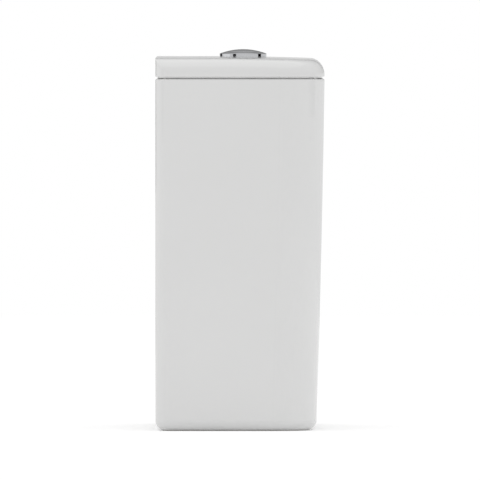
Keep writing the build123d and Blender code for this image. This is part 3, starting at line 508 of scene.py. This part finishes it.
narrow_cards = {
    # name: degrees from -X towards +Y, width in degrees, lower and upper edge in metres, tone
    "dark_card_far": (140.0, 28.0, 0.2, 0.5, 0.02),
    "dark_card_near": (42.6, 17.0, 0.2, 0.9, 0.03),
    "dark_card_front": (-89.5, 20.0, 0.2, 0.9, 0.0),
    "white_card": (91.0, 46.0, 0.0, 0.5, 1.0),
}
for name, (azimuth, width, low, high, tone) in narrow_cards.items():
    narrow_bm = bmesh.new()
    made = bmesh.ops.create_grid(narrow_bm, x_segments=1, y_segments=1, size=0.5)["verts"]
    half_turn = math.radians(90.0)
    bmesh.ops.rotate(narrow_bm, verts=made, cent=(0, 0, 0), matrix=Matrix.Rotation(half_turn, 3, "X"))
    bmesh.ops.rotate(narrow_bm, verts=made, cent=(0, 0, 0), matrix=Matrix.Rotation(half_turn, 3, "Z"))
    across = 2 * narrow_radius * math.tan(math.radians(width / 2))
    bmesh.ops.scale(narrow_bm, verts=made, vec=(1.0, across, high - low))
    bmesh.ops.translate(narrow_bm, verts=made, vec=(-narrow_radius, 0.0, (low + high) / 2))
    bmesh.ops.rotate(
        narrow_bm, verts=made, cent=(0, 0, 0), matrix=Matrix.Rotation(-math.radians(azimuth), 3, "Z"),
    )
    narrow = finish_piece(narrow_bm, name, None, None)
    narrow.data.materials.append(card_finish(name, [(0.0, tone), (1.0, tone)]))
    seen_in_reflections_only(narrow)

# %% [markdown]
# ## Surface effects that several finishes share
#
# Four small node groups do the work. Each has named inputs and gives back only colours, values or normals,
# so that the shader itself stays in the material.
# - drifting_tint lets a colour wander a little between two tones, because no real surface has one colour.
# - moulded_grain gives the fine skin of a moulding: a tiny grain, and gloss that comes and goes.
# - glaze_ripple gives the slow waves of a poured glaze.
# - turned_lines gives the rings that a cutting tool leaves round a metal part.

# %% Build the shared effects


def effect_group(name, inputs, outputs):
    """An empty node group with named inputs and outputs. Inputs are floats unless they are given a colour."""
    tree = bpy.data.node_groups.new(name, "ShaderNodeTree")
    for label, value in inputs.items():
        kind = "NodeSocketColor" if isinstance(value, tuple) else "NodeSocketFloat"
        tree.interface.new_socket(label, in_out="INPUT", socket_type=kind).default_value = value
    for label, kind in outputs.items():
        tree.interface.new_socket(label, in_out="OUTPUT", socket_type=kind)
    return tree, tree.nodes.new("NodeGroupInput"), tree.nodes.new("NodeGroupOutput")


def noise(tree, scale=None, scale_from=None, detail=2.0, stretch=None):
    """Noise on the piece's own coordinates, in metres. Stretch squeezes it along each axis."""
    place = tree.nodes.new("ShaderNodeTexCoord")
    texture = tree.nodes.new("ShaderNodeTexNoise")
    texture.inputs["Detail"].default_value = detail
    vector = place.outputs["Object"]
    if stretch:
        mapping = tree.nodes.new("ShaderNodeMapping")
        mapping.inputs["Scale"].default_value = stretch
        tree.links.new(vector, mapping.inputs["Vector"])
        vector = mapping.outputs["Vector"]
    tree.links.new(vector, texture.inputs["Vector"])
    if scale_from:
        tree.links.new(scale_from, texture.inputs["Scale"])
    else:
        texture.inputs["Scale"].default_value = scale
    return texture.outputs["Fac"]


def between(tree, factor, low, high, start=0.3, end=0.7):
    """Spread a noise over the range from low to high, each a number or an output."""
    spread = tree.nodes.new("ShaderNodeMapRange")
    spread.inputs["From Min"].default_value = start
    spread.inputs["From Max"].default_value = end
    tree.links.new(factor, spread.inputs["Value"])
    for label, value in (("To Min", low), ("To Max", high)):
        if isinstance(value, float):
            spread.inputs[label].default_value = value
        else:
            tree.links.new(value, spread.inputs[label])
    return spread.outputs["Result"]


def raised(tree, height, depth, under=None):
    """The normal of a surface that a height pattern lifts by depth, in metres."""
    bump = tree.nodes.new("ShaderNodeBump")
    tree.links.new(height, bump.inputs["Height"])
    if isinstance(depth, float):
        bump.inputs["Distance"].default_value = depth
    else:
        tree.links.new(depth, bump.inputs["Distance"])
    if under:
        tree.links.new(under, bump.inputs["Normal"])
    return bump.outputs["Normal"]


def blended(tree, factor, first, second):
    """A colour between two, each a colour or an output."""
    mix = tree.nodes.new("ShaderNodeMix")
    mix.data_type = "RGBA"
    tree.links.new(factor, mix.inputs["Factor"])
    for socket, value in ((mix.inputs[6], first), (mix.inputs[7], second)):
        if isinstance(value, tuple):
            socket.default_value = value
        else:
            tree.links.new(value, socket)
    return mix.outputs[2]


tint, tint_in, tint_out = effect_group(
    "drifting_tint",
    {"Tone A": (0.8, 0.8, 0.8, 1.0), "Tone B": (0.7, 0.7, 0.7, 1.0), "Scale": 20.0},
    {"Color": "NodeSocketColor"},
)
drift = between(tint, noise(tint, scale_from=tint_in.outputs["Scale"], detail=4.0), 0.0, 1.0)
drifted = blended(tint, drift, tint_in.outputs["Tone A"], tint_in.outputs["Tone B"])
tint.links.new(drifted, tint_out.inputs["Color"])

grain, grain_in, grain_out = effect_group(
    "moulded_grain",
    {"Grain": 2500.0, "Depth": 0.00002, "Smooth": 0.3, "Rough": 0.4, "Patch": 60.0},
    {"Roughness": "NodeSocketFloat", "Normal": "NodeSocketVector"},
)
patches = noise(grain, scale_from=grain_in.outputs["Patch"], detail=3.0)
patchy = between(grain, patches, grain_in.outputs["Smooth"], grain_in.outputs["Rough"])
grain.links.new(patchy, grain_out.inputs["Roughness"])
skin = noise(grain, scale_from=grain_in.outputs["Grain"], detail=2.0)
grain.links.new(raised(grain, skin, grain_in.outputs["Depth"]), grain_out.inputs["Normal"])

ripple, ripple_in, ripple_out = effect_group(
    "glaze_ripple",
    {"Wave": 28.0, "Depth": 0.00003, "Smooth": 0.05, "Dull": 0.1},
    {"Roughness": "NodeSocketFloat", "Normal": "NodeSocketVector"},
)
slow = noise(ripple, scale_from=ripple_in.outputs["Wave"], detail=1.0, stretch=(1.0, 1.0, 0.6))
gleam = between(ripple, slow, ripple_in.outputs["Smooth"], ripple_in.outputs["Dull"])
ripple.links.new(gleam, ripple_out.inputs["Roughness"])
ripple.links.new(raised(ripple, slow, ripple_in.outputs["Depth"]), ripple_out.inputs["Normal"])

lines, lines_in, lines_out = effect_group(
    "turned_lines",
    {"Lines": 1400.0, "Depth": 0.000005, "Bright": 0.2, "Dull": 0.35},
    {"Roughness": "NodeSocketFloat", "Normal": "NodeSocketVector"},
)
rings = noise(lines, scale_from=lines_in.outputs["Lines"], detail=2.0, stretch=(0.01, 0.01, 1.0))
ringed = between(lines, rings, lines_in.outputs["Bright"], lines_in.outputs["Dull"])
lines.links.new(ringed, lines_out.inputs["Roughness"])
lines.links.new(raised(lines, rings, lines_in.outputs["Depth"]), lines_out.inputs["Normal"])
print("effects:", [group.name for group in bpy.data.node_groups])

# %% [markdown]
# ## Finishes
#
# A material is the shader with its plain values, plus one or two of the effects. A helper places an effect,
# sets its inputs, and joins its outputs to the sockets of the same name.

# %% Material helpers


def finish(name, **plain):
    """A new material whose shader has these plain values. Underscores stand for spaces."""
    material = bpy.data.materials.new(name)
    material.use_nodes = True
    shader = material.node_tree.nodes["Principled BSDF"]
    for label, value in plain.items():
        shader.inputs[label.replace("_", " ")].default_value = value
    return material


def apply_effect(material, effect, sockets, **values):
    """Place an effect in a material. Sockets pairs the effect's outputs with the shader's inputs."""
    tree = material.node_tree
    node = tree.nodes.new("ShaderNodeGroup")
    node.node_tree = effect
    for label, value in values.items():
        node.inputs[label.replace("_", " ")].default_value = value
    shader = tree.nodes["Principled BSDF"]
    for output, target in sockets.items():
        tree.links.new(node.outputs[output], shader.inputs[target])
    return node


def tones(colour, change):
    """Two tones of one colour, the second changed by a factor: under 1 is darker, over 1 is lighter."""
    return (*colour, 1.0), (*(part * change for part in colour), 1.0)


# %% [markdown]
# ## Glazed china
#
# Vitreous china is a dense white body under a clear glaze half a millimetre thick. The body is even, and the
# glaze shines over it with slow waves. A coat in the shader would need a normal of its own for the waves, and
# that input isn't one that may be linked here, so one plain surface carries the waves in its normal. Its index
# of refraction was chosen for the tone in the photograph, and a real glaze is nearer to 1.5.
# The glaze is wiped off the foot before firing, or the tank would stick to the kiln shelf. That narrow ring
# is matt and a little warmer, and a mask on height finds it.

# %% Glaze the china
china = finish("glazed_china", IOR=1.44)
china_tree = china.node_tree
body_a, body_b = tones((0.800, 0.802, 0.800), 0.985)
china_tint = apply_effect(china, tint, {}, Tone_A=body_a, Tone_B=body_b, Scale=9.0)
china_glaze = apply_effect(china, ripple, {"Normal": "Normal"}, Smooth=0.045, Dull=0.075)
china_place = china_tree.nodes.new("ShaderNodeTexCoord")
china_height = china_tree.nodes.new("ShaderNodeSeparateXYZ")
china_tree.links.new(china_place.outputs["Object"], china_height.inputs["Vector"])
bare_foot = between(china_tree, china_height.outputs["Z"], 1.0, 0.0, start=0.0002, end=0.0008)
foot_colour = blended(china_tree, bare_foot, china_tint.outputs["Color"], (0.72, 0.68, 0.61, 1.0))
china_tree.links.new(foot_colour, china_tree.nodes["Principled BSDF"].inputs["Base Color"])
foot_gloss = between(china_tree, bare_foot, china_glaze.outputs["Roughness"], 0.75, start=0.0, end=1.0)
china_tree.links.new(foot_gloss, china_tree.nodes["Principled BSDF"].inputs["Roughness"])

# %% [markdown]
# ## Chrome, steel and brass
#
# The bezel and caps are plated plastic: a mirror with a faint haze from polishing. The spring is bright drawn
# wire. The bolts are zinc plated, which is duller and a little blue, with lines from turning. The inlet nut
# is plain brass. All are metals, so their colour goes into the reflection, and the detail into the roughness.

# %% Polish the metals
chrome = finish("chrome_plate", Metallic=1.0)
plate_a, plate_b = tones((0.66, 0.668, 0.685), 0.95)
apply_effect(chrome, tint, {"Color": "Base Color"}, Tone_A=plate_a, Tone_B=plate_b, Scale=120.0)
apply_effect(
    chrome, grain, {"Roughness": "Roughness", "Normal": "Normal"},
    Grain=900.0, Depth=0.000002, Smooth=0.04, Rough=0.09, Patch=240.0,
)

spring_wire = finish("spring_steel", Metallic=1.0)
wire_a, wire_b = tones((0.60, 0.60, 0.59), 0.85)
apply_effect(spring_wire, tint, {"Color": "Base Color"}, Tone_A=wire_a, Tone_B=wire_b, Scale=300.0)
apply_effect(
    spring_wire, grain, {"Roughness": "Roughness", "Normal": "Normal"},
    Grain=6000.0, Depth=0.000004, Smooth=0.2, Rough=0.34, Patch=500.0,
)

zinc = finish("zinc_steel", Metallic=1.0)
zinc_a, zinc_b = tones((0.55, 0.57, 0.60), 0.82)
apply_effect(zinc, tint, {"Color": "Base Color"}, Tone_A=zinc_a, Tone_B=zinc_b, Scale=160.0)
apply_effect(
    zinc, lines, {"Roughness": "Roughness", "Normal": "Normal"}, Bright=0.28, Dull=0.46, Depth=0.00001,
)

brass = finish("brass", Metallic=1.0)
brass_a, brass_b = tones((0.66, 0.47, 0.20), 0.86)
apply_effect(brass, tint, {"Color": "Base Color"}, Tone_A=brass_a, Tone_B=brass_b, Scale=110.0)
apply_effect(
    brass, lines, {"Roughness": "Roughness", "Normal": "Normal"}, Bright=0.2, Dull=0.38, Depth=0.000008,
)

# %% [markdown]
# ## Plastics, rubber and silicone
#
# The inside is a kit of mouldings. Polypropylene and acetal have a slightly waxy skin with a fine grain, and
# let a little light in, which a small share of subsurface light stands for. Rubber is almost black, matt and
# dusty. Silicone is smoother, with a bright pigment. They differ only in numbers, so one table holds them.

# %% Mould the plastics and rubbers
mouldings = {
    # slot: colour, second tone, smooth, rough, grain per metre, depth in metres, light let in
    "white_plastic": ((0.74, 0.74, 0.72), 0.95, 0.30, 0.42, 2600.0, 0.000020, 0.08),
    "grey_plastic": ((0.30, 0.31, 0.32), 0.90, 0.34, 0.48, 2400.0, 0.000025, 0.0),
    "blue_plastic": ((0.03, 0.16, 0.42), 0.90, 0.28, 0.40, 2600.0, 0.000018, 0.04),
    "green_plastic": ((0.05, 0.30, 0.11), 0.90, 0.28, 0.40, 2600.0, 0.000018, 0.04),
    "black_rubber": ((0.022, 0.022, 0.023), 1.5, 0.55, 0.75, 1500.0, 0.000060, 0.0),
    "red_silicone": ((0.46, 0.06, 0.035), 0.88, 0.38, 0.52, 1800.0, 0.000020, 0.15),
}
finishes = {
    "glazed_china": china,
    "chrome_plate": chrome,
    "spring_steel": spring_wire,
    "zinc_steel": zinc,
    "brass": brass,
}
for slot, (colour, change, smooth, rough, grains, depth, glow) in mouldings.items():
    moulding = finish(slot, IOR=1.48, Subsurface_Weight=glow, Subsurface_Scale=0.002)
    tone_a, tone_b = tones(colour, change)
    apply_effect(moulding, tint, {"Color": "Base Color"}, Tone_A=tone_a, Tone_B=tone_b, Scale=45.0)
    apply_effect(
        moulding, grain, {"Roughness": "Roughness", "Normal": "Normal"},
        Smooth=smooth, Rough=rough, Grain=grains, Depth=depth,
    )
    finishes[slot] = moulding

# %% Give every piece its finish
dressed = 0
for name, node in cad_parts.items():
    for place in node.material_slots:
        place.material = finishes[place.material.name.split(".")[0]]
        dressed += 1
for piece in (full_spring, half_spring, bolts, bolt_nuts, fill_backnut, outlet, inlet, housing_thread):
    piece.data.materials.append(finishes[piece["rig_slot"]])
    dressed += 1
print("slots dressed:", dressed)
